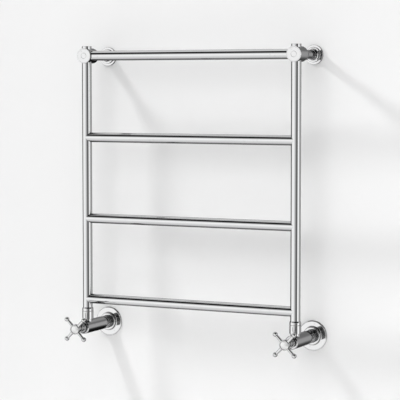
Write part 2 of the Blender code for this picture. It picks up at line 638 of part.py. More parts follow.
def make_crosshead(side, valve):
    hole = SPINDLE_RADIUS + GAP
    skirt_top = HUB_AT + HUB_SKIRT
    flare_top = skirt_top + HUB_FLARE
    rim_top = flare_top + HUB_RIM
    pocket = INDEX_RADIUS + GAP
    edge = HUB_SKIRT_RADIUS - SPINDLE_RADIUS
    lead = HUB_RADIUS - HUB_SKIRT_RADIUS
    hub = [(hole, HUB_AT), (HUB_SKIRT_RADIUS - edge / 8, HUB_AT), (HUB_SKIRT_RADIUS, HUB_AT + edge / 8),
           (HUB_SKIRT_RADIUS, skirt_top), (HUB_SKIRT_RADIUS + lead / 3, skirt_top + HUB_FLARE / 2),
           (HUB_RADIUS, flare_top), (HUB_RADIUS, rim_top)]
    fall = HUB_RADIUS - pocket
    hub += [(HUB_RADIUS - fall / 5, rim_top + 0.6 * HUB_DOME), (HUB_RADIUS - 0.55 * fall, HUB_TOP),
            (pocket, HUB_TOP), (pocket, WEB_TOP), (CROSS_SCREW_RADIUS + LOOSE, WEB_TOP),
            (CROSS_SCREW_RADIUS + LOOSE, WEB_AT), (hole, WEB_AT)]
    handle = turned(f"crosshead_{side}", hub, valve, CHROME)
    combine(handle, crosshead_arms(f"crosshead_arms_{side}", valve), "UNION")

    head = WEB_TOP + GAP
    screw = [(0, head - CROSS_SCREW_LENGTH), (CROSS_SCREW_RADIUS, head - CROSS_SCREW_LENGTH),
             (CROSS_SCREW_RADIUS, head), (CROSS_SCREW_HEAD_RADIUS, head),
             (CROSS_SCREW_HEAD_RADIUS, head + CROSS_SCREW_HEAD), (0, head + CROSS_SCREW_HEAD)]
    fixing = turned(f"handle_screw_{side}", screw, valve, ZINC, FINE_SIDES)
    cut(fixing, rod(f"handle_screw_key_{side}", CROSS_SCREW_HEAD_RADIUS / 2, head + CROSS_SCREW_HEAD / 2,
                    head + 2 * CROSS_SCREW_HEAD, valve, 6))

    back = head + CROSS_SCREW_HEAD + GAP
    rise = INDEX_DOME
    cap = [(0, back), (INDEX_RADIUS, back), (INDEX_RADIUS, HUB_TOP - GAP),
           (0.9 * INDEX_RADIUS, HUB_TOP + 0.3 * rise),
           (0.6 * INDEX_RADIUS, HUB_TOP + 0.65 * rise), (0.3 * INDEX_RADIUS, HUB_TOP + 0.78 * rise),
           (0, HUB_TOP + 0.8 * rise)]
    turned(f"index_cap_{side}", cap, valve, CHROME, FINE_SIDES)


def main():
    clear_scene()
    make_rails()
    for side, x in (("left", -PIPE_CENTRES / 2), ("right", PIPE_CENTRES / 2)):
        post = axis_empty(f"post_axis_{side}", (x, -WALL_GAP, 0))
        bracket = axis_empty(f"bracket_axis_{side}", (x, -WALL_GAP, TOP_RAIL), INTO_ROOM)
        valve = axis_empty(f"valve_axis_{side}", (x, -WALL_GAP, 0), INTO_ROOM)
        make_post(side, post)
        make_post_foot(side, post)
        make_post_cap(side, post, side == "right")
        make_joint(side, bracket)
        make_bracket(side, bracket)
        make_body(side, valve)
        make_inlet(side, valve)
        make_union(side, post)
        make_headgear(side, valve)
        make_plug(side, valve)
        make_spindle(side, valve)
        make_crosshead(side, valve)


main()
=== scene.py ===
import math
import bmesh
import bpy
from mathutils import Matrix, Vector


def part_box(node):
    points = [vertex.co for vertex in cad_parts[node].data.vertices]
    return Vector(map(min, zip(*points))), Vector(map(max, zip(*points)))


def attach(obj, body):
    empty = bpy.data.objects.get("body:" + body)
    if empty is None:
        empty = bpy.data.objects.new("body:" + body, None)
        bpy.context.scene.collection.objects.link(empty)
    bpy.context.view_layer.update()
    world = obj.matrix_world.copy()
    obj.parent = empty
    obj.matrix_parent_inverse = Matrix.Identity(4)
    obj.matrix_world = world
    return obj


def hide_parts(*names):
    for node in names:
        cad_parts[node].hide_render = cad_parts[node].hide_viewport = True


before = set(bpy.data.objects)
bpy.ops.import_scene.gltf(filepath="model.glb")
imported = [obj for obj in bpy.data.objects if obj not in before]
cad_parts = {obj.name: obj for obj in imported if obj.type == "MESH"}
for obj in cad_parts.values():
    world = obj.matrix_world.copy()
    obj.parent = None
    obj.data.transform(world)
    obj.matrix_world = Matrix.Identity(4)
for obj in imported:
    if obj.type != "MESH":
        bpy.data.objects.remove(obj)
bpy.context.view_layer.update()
print("packed parts loaded:", len(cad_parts))

mm = 0.001
sideNames = ("left", "right")
upright = Matrix.Identity(4)
intoRoom = Matrix.Rotation(math.radians(90), 4, "X")  # a turned piece's own Z then points away from the wall
acrossRails = Matrix.Rotation(math.radians(90), 4, "Y")


# places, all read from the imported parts

def wallEndOf(node, axisNode=None):
    # end of a piece nearest the wall, on its axis, and its length in mm
    low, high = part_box(node)
    axisLow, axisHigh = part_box(axisNode or node)
    return Vector(((low.x + high.x) / 2, high.y, (axisLow.z + axisHigh.z) / 2)), (high.y - low.y) / mm


def footOf(node):
    # foot of an upright piece, on its axis, and its height in mm
    low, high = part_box(node)
    return Vector(((low.x + high.x) / 2, (low.y + high.y) / 2, low.z)), (high.z - low.z) / mm


# shader groups

def addNode(tree, kind, **settings):
    node = tree.nodes.new(kind)
    for name, value in settings.items():
        setattr(node, name, value)
    return node


def feed(tree, socket, value):
    # value is a number, a colour, a vector or another node's output
    if isinstance(value, bpy.types.NodeSocket):
        tree.links.new(value, socket)
    else:
        socket.default_value = value


def math2(tree, operation, first, second=0.0):
    node = addNode(tree, "ShaderNodeMath", operation=operation)
    feed(tree, node.inputs[0], first)
    feed(tree, node.inputs[1], second)
    return node.outputs[0]


def remap(tree, value, low, high, outLow=0.0, outHigh=1.0, smooth=True):
    curve = "SMOOTHSTEP" if smooth else "LINEAR"
    node = addNode(tree, "ShaderNodeMapRange", clamp=True, interpolation_type=curve)
    feed(tree, node.inputs["Value"], value)
    for name, number in (("From Min", low), ("From Max", high), ("To Min", outLow), ("To Max", outHigh)):
        feed(tree, node.inputs[name], number)
    return node.outputs["Result"]


def mixColour(tree, amount, first, second, blend="MIX"):
    node = addNode(tree, "ShaderNodeMix", data_type="RGBA", blend_type=blend)
    feed(tree, node.inputs[0], amount)
    feed(tree, node.inputs[6], first)
    feed(tree, node.inputs[7], second)
    return node.outputs[2]


def greyFrom(tree, value):
    node = addNode(tree, "ShaderNodeCombineColor")
    for number in range(3):
        feed(tree, node.inputs[number], value)
    return node.outputs[0]


def stretched(tree, vector, scale, turn=(0, 0, 0)):
    node = addNode(tree, "ShaderNodeMapping")
    feed(tree, node.inputs["Vector"], vector)
    node.inputs["Scale"].default_value = scale
    node.inputs["Rotation"].default_value = turn
    return node.outputs["Vector"]


def noise(tree, vector, scale, detail=2.0, rough=0.5):
    node = addNode(tree, "ShaderNodeTexNoise")
    feed(tree, node.inputs["Vector"], vector)
    node.inputs["Scale"].default_value = scale
    node.inputs["Detail"].default_value = detail
    node.inputs["Roughness"].default_value = rough
    return node.outputs["Fac"]


def newGroup(name, inputs, outputs):
    group = bpy.data.node_groups.new(name, "ShaderNodeTree")
    kinds = {"value": "NodeSocketFloat", "colour": "NodeSocketColor", "vector": "NodeSocketVector"}
    for label, kind, start in inputs:
        socket = group.interface.new_socket(name=label, in_out="INPUT", socket_type=kinds[kind])
        if start is not None:
            socket.default_value = start
    for label, kind in outputs:
        group.interface.new_socket(name=label, in_out="OUTPUT", socket_type=kinds[kind])
    return group, addNode(group, "NodeGroupInput"), addNode(group, "NodeGroupOutput")


def useGroup(tree, group, **values):
    node = addNode(tree, "ShaderNodeGroup", node_tree=group)
    for label, value in values.items():
        feed(tree, node.inputs[label], value)
    return node


# pattern sizes, then how much each mark roughens and darkens the plating
platingMarks = {"wipeSize": 14, "spotSize": 85, "hairSize": 34, "hairPatchSize": 22,
                "wipeDulls": 0.035, "spotDulls": 0.12, "hairDulls": 0.1,
                "wipeDarkens": 0.025, "spotDarkens": 0.07, "spotHeight": 0.3}


def makePlatingWear():
    # wiping marks, dried water spots and hair scratches
    tree, ins, outs = newGroup(
        "platingWear",
        [("Vector", "vector", None), ("Tint", "colour", (0.8, 0.8, 0.8, 1)), ("Polish", "value", 0.05),
         ("Wiped", "value", 1.0), ("Spotted", "value", 1.0), ("Scratched", "value", 1.0)],
        [("Color", "colour"), ("Roughness", "value"), ("Height", "value")])
    place = ins.outputs["Vector"]
    wiped = noise(tree, stretched(tree, place, (1, 1, 0.3)), platingMarks["wipeSize"], 4, 0.6)
    wiped = math2(tree, "MULTIPLY", remap(tree, wiped, 0.42, 0.72), ins.outputs["Wiped"])

    cells = addNode(tree, "ShaderNodeTexVoronoi", feature="F1")
    feed(tree, cells.inputs["Vector"], place)
    cells.inputs["Scale"].default_value = platingMarks["spotSize"]
    split = addNode(tree, "ShaderNodeSeparateColor")
    feed(tree, split.inputs[0], cells.outputs["Color"])
    rare = remap(tree, split.outputs[0], 0.84, 0.9)  # few of the cells hold a spot
    outerEdge = remap(tree, cells.outputs["Distance"], 0.3, 0.22)
    innerEdge = remap(tree, cells.outputs["Distance"], 0.1, 0.22, 0.25, 1.0)
    spots = math2(tree, "MULTIPLY", math2(tree, "MULTIPLY", outerEdge, innerEdge), rare)
    spots = math2(tree, "MULTIPLY", spots, ins.outputs["Spotted"])

    drawnOut = stretched(tree, place, (26, 26, 1.2), (0.3, 0.2, 0.5))
    hairs = noise(tree, drawnOut, platingMarks["hairSize"], 1, 0.4)
    hairs = math2(tree, "ABSOLUTE", math2(tree, "SUBTRACT", hairs, 0.5))
    hairs = remap(tree, hairs, 0.012, 0.002)
    patches = remap(tree, noise(tree, place, platingMarks["hairPatchSize"], 2), 0.52, 0.66)
    hairs = math2(tree, "MULTIPLY", math2(tree, "MULTIPLY", hairs, patches), ins.outputs["Scratched"])

    dulled = math2(tree, "ADD", math2(tree, "MULTIPLY", wiped, platingMarks["wipeDulls"]),
                   math2(tree, "MULTIPLY", spots, platingMarks["spotDulls"]))
    dulled = math2(tree, "ADD", dulled, math2(tree, "MULTIPLY", hairs, platingMarks["hairDulls"]))
    feed(tree, outs.inputs["Roughness"], math2(tree, "ADD", dulled, ins.outputs["Polish"]))
    darkened = math2(tree, "ADD", math2(tree, "MULTIPLY", wiped, platingMarks["wipeDarkens"]),
                     math2(tree, "MULTIPLY", spots, platingMarks["spotDarkens"]))
    shade = greyFrom(tree, math2(tree, "SUBTRACT", 1.0, darkened))
    feed(tree, outs.inputs["Color"], mixColour(tree, 1.0, ins.outputs["Tint"], shade, "MULTIPLY"))
    raised = math2(tree, "MULTIPLY", spots, platingMarks["spotHeight"])
    feed(tree, outs.inputs["Height"], math2(tree, "SUBTRACT", raised, hairs))
    return tree


def makeTurningMarks():
    # fine rings left by a lathe tool, square to Vector's own Z
    tree, ins, outs = newGroup(
        "turningMarks",
        [("Vector", "vector", None), ("Spacing", "value", 2600.0), ("Depth", "value", 1.0)],
        [("Mask", "value"), ("Height", "value")])
    axial = addNode(tree, "ShaderNodeSeparateXYZ")
    feed(tree, axial.inputs[0], ins.outputs["Vector"])
    wander = math2(tree, "MULTIPLY", noise(tree, ins.outputs["Vector"], 120, 2), 3.0)
    phase = math2(tree, "MULTIPLY", axial.outputs[2], ins.outputs["Spacing"])
    grooves = math2(tree, "SINE", math2(tree, "ADD", phase, wander))
    grooves = math2(tree, "MULTIPLY", grooves, 0.5)
    feed(tree, outs.inputs["Height"], math2(tree, "MULTIPLY", grooves, ins.outputs["Depth"]))
    feed(tree, outs.inputs["Mask"], math2(tree, "ADD", grooves, 0.5))
    return tree


def makeStaining():
    # cloudy stains and dust on handled or stored metal and rubber
    tree, ins, outs = newGroup(
        "staining",
        [("Vector", "vector", None), ("Clean", "colour", (0.6, 0.6, 0.6, 1)),
         ("Stained", "colour", (0.3, 0.3, 0.3, 1)), ("Size", "value", 60.0), ("Amount", "value", 0.6)],
        [("Color", "colour"), ("Mask", "value")])
    cloud = addNode(tree, "ShaderNodeTexNoise")
    feed(tree, cloud.inputs["Vector"], ins.outputs["Vector"])
    feed(tree, cloud.inputs["Scale"], ins.outputs["Size"])
    cloud.inputs["Detail"].default_value = 5
    cloudy = remap(tree, cloud.outputs["Fac"], 0.38, 0.68)
    speck = remap(tree, noise(tree, ins.outputs["Vector"], 900, 1), 0.62, 0.72)
    mask = math2(tree, "MULTIPLY", math2(tree, "MAXIMUM", cloudy, speck), ins.outputs["Amount"])
    feed(tree, outs.inputs["Color"], mixColour(tree, mask, ins.outputs["Clean"], ins.outputs["Stained"]))
    feed(tree, outs.inputs["Mask"], mask)
    return tree


platingWear = makePlatingWear()
turningMarks = makeTurningMarks()
staining = makeStaining()


# materials

def startMaterial(name, metallic):
    material = bpy.data.materials.new(name)
    material.use_nodes = True
    tree = material.node_tree
    shader = tree.nodes["Principled BSDF"]
    shader.inputs["Metallic"].default_value = metallic
    place = addNode(tree, "ShaderNodeTexCoord").outputs["Object"]
    return material, tree, shader, place


def addBump(tree, shader, height, distance, strength):
    bump = addNode(tree, "ShaderNodeBump")
    bump.inputs["Distance"].default_value = distance
    bump.inputs["Strength"].default_value = strength
    feed(tree, bump.inputs["Height"], height)
    tree.links.new(bump.outputs["Normal"], shader.inputs["Normal"])


def chromeFinish(name, tint, polish, wiped, spotted, scratched, rippleSize, rippleDepth):
    # the ripple is what polishing leaves in the metal under the plating
    material, tree, shader, place = startMaterial(name, 1.0)
    wear = useGroup(tree, platingWear, Vector=place, Tint=(*tint, 1), Polish=polish, Wiped=wiped,
                    Spotted=spotted, Scratched=scratched)
    tree.links.new(wear.outputs["Color"], shader.inputs["Base Color"])
    tree.links.new(wear.outputs["Roughness"], shader.inputs["Roughness"])
    ripple = math2(tree, "MULTIPLY", noise(tree, place, rippleSize, 1), rippleDepth)
    marks = math2(tree, "MULTIPLY", wear.outputs["Height"], 0.06)
    addBump(tree, shader, math2(tree, "ADD", ripple, marks), distance=0.0004, strength=0.25)
    return material


chromeTube = chromeFinish("chrome on drawn tube", tint=(0.80, 0.805, 0.81), polish=0.035, wiped=1.0,
                          spotted=0.6, scratched=0.5, rippleSize=26, rippleDepth=0.5)
chromeTurned = chromeFinish("chrome on turned brass", tint=(0.80, 0.80, 0.805), polish=0.045, wiped=0.8,
                            spotted=0.8, scratched=0.4, rippleSize=60, rippleDepth=0.25)
chromeHandled = chromeFinish("chrome on handled brass", tint=(0.82, 0.82, 0.82), polish=0.05, wiped=1.4,
                             spotted=0.5, scratched=1.0, rippleSize=55, rippleDepth=0.3)


def machinedFinish(name, clean, stained, stainSize, stainAmount, roughness, turn, spacing):
    material, tree, shader, place = startMaterial(name, 1.0)
    stain = useGroup(tree, staining, Vector=place, Clean=(*clean, 1), Stained=(*stained, 1), Size=stainSize,
                     Amount=stainAmount)
    marks = useGroup(tree, turningMarks, Vector=stretched(tree, place, (1, 1, 1), turn), Spacing=spacing,
                     Depth=1.0)
    tree.links.new(stain.outputs["Color"], shader.inputs["Base Color"])
    dulled = remap(tree, stain.outputs["Mask"], 0, 1, roughness, roughness + 0.22)
    feed(tree, shader.inputs["Roughness"], dulled)
    height = math2(tree, "ADD", math2(tree, "MULTIPLY", marks.outputs["Height"], 0.5),
                   math2(tree, "MULTIPLY", stain.outputs["Mask"], 0.4))
    addBump(tree, shader, height, distance=0.00006, strength=0.5)
    return material


alongValve = (math.radians(90), 0, 0)
brass = {"clean": (0.74, 0.55, 0.26), "stained": (0.36, 0.24, 0.11), "stainSize": 70, "stainAmount": 0.55,
         "roughness": 0.2, "spacing": 5200}
steel = {"clean": (0.66, 0.67, 0.66), "stained": (0.42, 0.41, 0.36), "stainSize": 110, "stainAmount": 0.7,
         "roughness": 0.28, "spacing": 4200}
brassTurned = machinedFinish("turned brass", turn=alongValve, **brass)
brassUpright = machinedFinish("turned brass upright", turn=(0, 0, 0), **brass)
zincSteel = machinedFinish("zinc plated steel", turn=alongValve, **steel)


def rubberFinish(name, clean, stained, stainSize, stainAmount):
    material, tree, shader, place = startMaterial(name, 0.0)
    stain = useGroup(tree, staining, Vector=place, Clean=(*clean, 1), Stained=(*stained, 1), Size=stainSize,
                     Amount=stainAmount)
    tree.links.new(stain.outputs["Color"], shader.inputs["Base Color"])
    feed(tree, shader.inputs["Roughness"], remap(tree, stain.outputs["Mask"], 0, 1, 0.62, 0.85))
    addBump(tree, shader, noise(tree, place, 1400, 2), distance=0.00005, strength=0.6)
    return material


rubberSeal = rubberFinish("valve rubber", clean=(0.022, 0.022, 0.024), stained=(0.075, 0.07, 0.065),
                          stainSize=180.0, stainAmount=0.6)
print("materials made")


# making turned pieces

def outlineOf(bm, outline):
    # outline: (radius, distance along, corner round), in mm
    corners = [bm.verts.new((radius * mm, 0, along * mm)) for radius, along, _ in outline]
    for pair in zip(corners, corners[1:]):
        bm.edges.new(pair)
    return corners


def turnPiece(outline, steps=96, openEnd=False):
    # closes on itself unless it starts on the axis; openEnd leaves a hole where the last point is
    bm = bmesh.new()
    corners = outlineOf(bm, outline)
    if outline[0][0] > 0 and not openEnd:
        bm.edges.new((corners[-1], corners[0]))
    for width in sorted({item[2] for item in outline} - {0}):
        chosen = [corner for corner, item in zip(corners, outline) if item[2] == width]
        bmesh.ops.bevel(bm, geom=chosen, offset=width * mm, offset_type="OFFSET", affect="VERTICES",
                        segments=4, profile=0.5, material=-1, clamp_overlap=True)
    bmesh.ops.spin(bm, geom=bm.verts[:] + bm.edges[:], axis=(0, 0, 1), cent=(0, 0, 0), angle=math.tau,
                   steps=steps, use_merge=True)
    bmesh.ops.remove_doubles(bm, verts=bm.verts[:], dist=1e-6)
    bmesh.ops.recalc_face_normals(bm, faces=bm.faces[:])
    return bm


def sinkKey(bm, height, radius, corners, depth):
    # square or hexagon socket in the open end that a turned piece was left with
    rim = [edge for edge in bm.edges if edge.is_boundary]
    key = bmesh.ops.create_circle(bm, cap_ends=False, radius=radius * mm, segments=corners,
                                  matrix=Matrix.Translation((0, 0, height * mm)))
    keyEdges = list({edge for vert in key["verts"] for edge in vert.link_edges})
    bmesh.ops.bridge_loops(bm, edges=rim + keyEdges)
    walls = bmesh.ops.extrude_edge_only(bm, edges=keyEdges)
    lower = [item for item in walls["geom"] if isinstance(item, bmesh.types.BMVert)]
    bmesh.ops.translate(bm, verts=lower, vec=(0, 0, -depth * mm))
    floor = [item for item in walls["geom"] if isinstance(item, bmesh.types.BMEdge) and item.is_boundary]
    bmesh.ops.edgeloop_fill(bm, edges=floor)
    bmesh.ops.recalc_face_normals(bm, faces=bm.faces[:])


def joinShells(target, other, matrix=None):
    # adds one bmesh's shell to another, as two castings brazed together
    if matrix is not None:
        bmesh.ops.transform(other, matrix=matrix, verts=other.verts[:])
    holder = bpy.data.meshes.new("holder")
    other.to_mesh(holder)
    other.free()
    target.from_mesh(holder)
    bpy.data.meshes.remove(holder)


def finishPiece(bm, name, node, body, material, turnTo, place, sharp=38):
    bmesh.ops.transform(bm, matrix=Matrix.Translation(place) @ turnTo, verts=bm.verts[:])
    mesh = bpy.data.meshes.new(name)
    bm.to_mesh(mesh)
    bm.free()
    mesh.shade_smooth()
    mesh.set_sharp_from_angle(angle=math.radians(sharp))
    mesh.materials.append(material)
    piece = bpy.data.objects.new(name, mesh)
    bpy.context.scene.collection.objects.link(piece)
    weighted = piece.modifiers.new("face weighted normals", "WEIGHTED_NORMAL")
    weighted.keep_sharp = True
    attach(piece, body)
    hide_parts(node)
    return piece


def quarterCove(wide, narrow, start, end, count):
    # hollow sweep from a wide radius at start to a narrow one at end
    points = []
    for number in range(count + 1):
        angle = math.radians(90 * number / count)
        radius = wide - (wide - narrow) * math.sin(angle)
        points.append((radius, start + (end - start) * (1 - math.cos(angle)), 0))
    return points


def quarterDome(wide, narrow, start, end, count):
    # full round from a wide radius at start to a narrow one at end
    points = []
    for number in range(count + 1):
        angle = math.radians(90 * number / count)
        radius = narrow + (wide - narrow) * math.cos(angle)
        points.append((radius, start + (end - start) * math.sin(angle), 0))
    return points


def shallowDome(wide, start, end, count):
    # slice of a large ball, from its rim to its middle
    points = []
    for number in range(count + 1):
        share = 1 - number / count
        points.append((wide * share, end - (end - start) * share ** 2, 0))
    return points


# posts and rails

tube = {"radius": 12.7, "wall": 1.5, "endRound": 0.25, "saddleGap": 0.12, "steps": 128, "rails": 4}


def makePost(side):
    place, length = footOf(f"post_{side}")
    radius, soft = tube["radius"], tube["endRound"]
    inner = radius - tube["wall"]
    bm = turnPiece([(inner, 0, soft), (radius, 0, soft), (radius, length, soft), (inner, length, soft)],
                   tube["steps"])
    finishPiece(bm, f"postTube_{side}", f"post_{side}", "frame", chromeTube, upright, place)


def makeRail(number):
    node = f"rail_{number}"
    low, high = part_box(node)
    postX = footOf("post_right")[0].x
    middle = (low + high) / 2
    radius = tube["radius"]
    inner = radius - tube["wall"]
    bm = turnPiece([(inner, -1, 0), (radius, -1, 0), (radius, 1, 0), (inner, 1, 0)], tube["steps"])
    bmesh.ops.transform(bm, matrix=acrossRails, verts=bm.verts[:])
    saddle = (radius + tube["saddleGap"]) * mm
    for vert in bm.verts:  # each end follows the round of its post
        vert.co.x = math.copysign(postX - math.sqrt(saddle ** 2 - vert.co.y ** 2), vert.co.x)
    finishPiece(bm, f"crossTube_{number}", node, "frame", chromeTube, upright, middle)


for side in sideNames:
    makePost(side)
for number in range(1, tube["rails"] + 1):
    makeRail(number)
print("posts and rails made")


# top joints and post caps

barrel = {"radius": 20.0, "endRound": 0.8}


def makeBarrel(side):
    place, length = wallEndOf(f"joint_barrel_{side}")
    radius, edge = barrel["radius"], barrel["endRound"]
    bm = turnPiece([(0, 0, 0), (radius, 0, edge), (radius, length, edge), (0, length, 0)])
    finishPiece(bm, f"jointBarrel_{side}", f"joint_barrel_{side}", "frame", chromeTurned,
                intoRoom, place)


disc = {"radius": 20.0, "rimChamfer": 0.5, "ring": 7.4, "outerRing": 17.6, "ringHalf": 0.45, "ringDepth": 0.3}


def makeDisc(side):
    place, length = wallEndOf(f"front_disc_{side}")
    radius, edge = disc["radius"], disc["rimChamfer"]
    ring, outer = disc["ring"], disc["outerRing"]
    half, deep = disc["ringHalf"], disc["ringDepth"]
    bm = turnPiece([(0, 0, 0), (radius, 0, 0.1), (radius, length - edge, 0.2), (radius - edge, length, 0.2),
                    (outer + half, length, 0.12), (outer, length - deep / 2, 0.12),
                    (outer - half, length, 0.12), (ring + half, length, 0.15), (ring, length - deep, 0.15),
                    (ring - half, length, 0.15), (0, length, 0)])
    finishPiece(bm, f"frontDisc_{side}", f"front_disc_{side}", "frame", chromeTurned,
                intoRoom, place, 50)


cap = {"plug": 10.9, "radius": 12.7, "rim": 1.1, "edge": 0.35}
# the right-hand cap is bored for the vent screw
vent = {"stem": 2.3, "stemGap": 0.3, "head": 4.0, "headHeight": 2.0, "pocket": 4.3, "pocketGap": 0.6,
        "key": 2.4, "keyRim": 2.75, "keyDepth": 1.2}


def makeCap(side):
    place, length = footOf(f"post_cap_{side}")
    plug, radius = cap["plug"], cap["radius"]
    seat = length - cap["rim"]
    sides = [(plug, 0, 0.4), (plug, seat, 0), (radius, seat, 0.1), (radius, length, cap["edge"])]
    if side == "left":
        bm = turnPiece([(0, 0, 0), *sides, (0, length, 0)])
    else:
        floor = length - vent["headHeight"] - vent["pocketGap"]
        bore = vent["stem"] + vent["stemGap"]
        bm = turnPiece([(bore, 0, 0.2), *sides, (vent["pocket"], length, 0.25), (vent["pocket"], floor, 0),
                        (bore, floor, 0)])
    finishPiece(bm, f"postCap_{side}", f"post_cap_{side}", "frame", chromeTurned, upright, place)


def makeVentScrew():
    place, length = footOf("vent_screw")
    stemRadius, head = vent["stem"], vent["head"]
    under = length - vent["headHeight"]
    bm = turnPiece([(0, 0, 0), (stemRadius, 0, 0.3), (stemRadius, under, 0), (head, under, 0.15),
                    (head, length, 0.3), (vent["keyRim"], length, 0)], 64, True)
    sinkKey(bm, length, vent["key"], 4, vent["keyDepth"])
    finishPiece(bm, "ventScrew", "vent_screw", "bleed", brassUpright, upright, place, 30)


for side in sideNames:
    makeBarrel(side)
    makeDisc(side)
    makeCap(side)
makeVentScrew()
print("top joints made")


# wall brackets

bracketArm = {"radius": 11.3, "bore": 8.3, "boreDepth": 26.4, "flareWide": 19.2, "flareStart": 42.0,
              "rim": 2.5, "spigot": 6.0, "spigotLength": 13.5, "flareSteps": 14}


def makeBracketArm(side):
    place, length = wallEndOf(f"bracket_arm_{side}")
    radius, bore, deep = bracketArm["radius"], bracketArm["bore"], bracketArm["boreDepth"]
    wide, spigot = bracketArm["flareWide"], bracketArm["spigot"]
    shoulder = length - bracketArm["spigotLength"]
    flare = quarterCove(wide, radius, shoulder - bracketArm["rim"], bracketArm["flareStart"],
                        bracketArm["flareSteps"])
    bm = turnPiece([(0, deep, 0), (bore, deep, 0), (bore, 0, 0.3), (radius, 0, 0.4), *reversed(flare),
                    (wide, shoulder, 0.3), (spigot, shoulder, 0), (spigot, length, 0.5), (0, length, 0)], 112)
    finishPiece(bm, f"bracketArm_{side}", f"bracket_arm_{side}", "frame", chromeTurned,
                intoRoom, place)


rose = {"radius": 25.0, "plate": 4.8, "rimRound": 0.9, "step": 19.2, "stepHeight": 8.5, "neck": 13.0,
        "sweepWidth": 1.4, "sweepLow": 0.5, "sweepHigh": 2.2, "bore": 11.6,
        "hollow": 17.8, "hollowDepth": 3.8}


def makeRose(side):
    place, length = wallEndOf(f"bracket_rose_{side}")
    radius, plate = rose["radius"], rose["plate"]
    step, high, neck, bore = rose["step"], rose["stepHeight"], rose["neck"], rose["bore"]
    hollow, deep = rose["hollow"], rose["hollowDepth"]
    bm = turnPiece([(hollow, 0, 0.2), (radius, 0, 0.25), (radius, plate, rose["rimRound"]),
                    (step, plate, 0.25), (step, high, 1.1),
                    (neck + rose["sweepWidth"], high + rose["sweepLow"], 1.0),
                    (neck, high + rose["sweepHigh"], 0.4), (neck, length, 0.6), (bore, length, 0.15),
                    (bore, deep, 0), (hollow, deep, 0)], 112)
    finishPiece(bm, f"bracketRose_{side}", f"bracket_rose_{side}", "frame", chromeTurned,
                intoRoom, place)


boss = {"base": 17.0, "baseThickness": 3.2, "spigot": 7.7, "hole": 2.8, "pocket": 4.8, "headSeat": 4.1}


def makeWallBoss(side):
    place, length = wallEndOf(f"wall_boss_{side}")
    base, thick, spigot = boss["base"], boss["baseThickness"], boss["spigot"]
    hole, pocket = boss["hole"], boss["pocket"]
    seat = length - boss["headSeat"]
    cone = pocket - hole
    bm = turnPiece([(hole, 0, 0.2), (base, 0, 0.3), (base, thick, 0.5), (spigot, thick, 0.4),
                    (spigot, length, 0.6), (pocket, length, 0.2), (pocket, seat, 0),
                    (hole, seat - cone, 0)], 64)
    finishPiece(bm, f"wallBoss_{side}", f"wall_boss_{side}", "frame", zincSteel,
                intoRoom, place)


grub = {"radius": 2.1, "pointShare": 0.6, "pointHeight": 0.8, "keyRim": 1.35, "key": 1.1, "keyDepth": 1.5,
        "proud": 0.12}


def makeGrubScrew(side):
    low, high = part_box(f"grub_screw_{side}")
    length = (high.z - low.z) / mm + grub["proud"]
    radius = grub["radius"]
    place = Vector(((low.x + high.x) / 2, (low.y + high.y) / 2, high.z))
    downwards = Matrix.Rotation(math.radians(180), 4, "X")
    bm = turnPiece([(0, 0, 0), (grub["pointShare"] * radius, 0, 0.1), (radius, grub["pointHeight"], 0.1),
                    (radius, length, 0.15), (grub["keyRim"], length, 0)], 48, True)
    sinkKey(bm, length, grub["key"], 6, grub["keyDepth"])
    finishPiece(bm, f"grubScrew_{side}", f"grub_screw_{side}", "frame", zincSteel,
                downwards, place, 30)


wallScrew = {"shank": 1.9, "thread": 2.5, "pitch": 2.2, "threaded": 33.0, "runOut": 0.8, "neckLength": 2.0,
             "head": 4.5, "headHeight": 3.8, "taper": 5.0, "keyRim": 2.6, "key": 2.25, "keyDepth": 2.0,
             "ridgeShare": 0.28, "ridgeSink": 0.15, "ridgeStart": 0.7, "stepsPerTurn": 24}


def makeScrewRidge():
    # one tooth taken round and up as far as the thread goes
    ridge = bmesh.new()
    pitch, stepsPerTurn = wallScrew["pitch"], wallScrew["stepsPerTurn"]
    half = wallScrew["ridgeShare"] * pitch
    start = wallScrew["ridgeStart"] * wallScrew["taper"]
    foot = wallScrew["shank"] - wallScrew["ridgeSink"]
    tooth = [ridge.verts.new(Vector(point) * mm)
             for point in ((foot, 0, start - half), (wallScrew["thread"], 0, start), (foot, 0, start + half))]
    face = ridge.faces.new(tooth)
    turns = int((wallScrew["threaded"] - start) / pitch)
    bmesh.ops.spin(ridge, geom=[face, *face.edges, *face.verts], axis=(0, 0, 1), cent=(0, 0, 0),
                   dvec=(0, 0, pitch * mm / stepsPerTurn), angle=math.tau * turns,
                   steps=stepsPerTurn * turns, use_merge=False, use_duplicate=False)
    bmesh.ops.remove_doubles(ridge, verts=ridge.verts[:], dist=1e-6)
    openEnds = [edge for edge in ridge.edges if edge.is_boundary]
    if openEnds:
        bmesh.ops.holes_fill(ridge, edges=openEnds, sides=4)
    bmesh.ops.recalc_face_normals(ridge, faces=ridge.faces[:])
    return ridge


def makeWallScrew(side):
    place, length = wallEndOf(f"wall_screw_{side}")
    shank, thread, head = wallScrew["shank"], wallScrew["thread"], wallScrew["head"]
    threaded = wallScrew["threaded"]
    under = length - wallScrew["headHeight"]
    bm = turnPiece([(0, 0, 0), (shank, wallScrew["taper"], 0.6), (shank, threaded, 0.2),
                    (thread, threaded + wallScrew["runOut"], 0.2),
                    (thread, under - wallScrew["neckLength"], 0), (head, under, 0.2), (head, length, 0.3),
                    (wallScrew["keyRim"], length, 0)], 48, True)
    sinkKey(bm, length, wallScrew["key"], 6, wallScrew["keyDepth"])
    joinShells(bm, makeScrewRidge())
    finishPiece(bm, f"wallScrew_{side}", f"wall_screw_{side}", "frame", zincSteel,
                intoRoom, place, 30)


for side in sideNames:
    makeBracketArm(side)
    makeRose(side)
    makeWallBoss(side)
    makeGrubScrew(side)
    makeWallScrew(side)
print("wall brackets made")


# valve bodies and what joins them to the wall

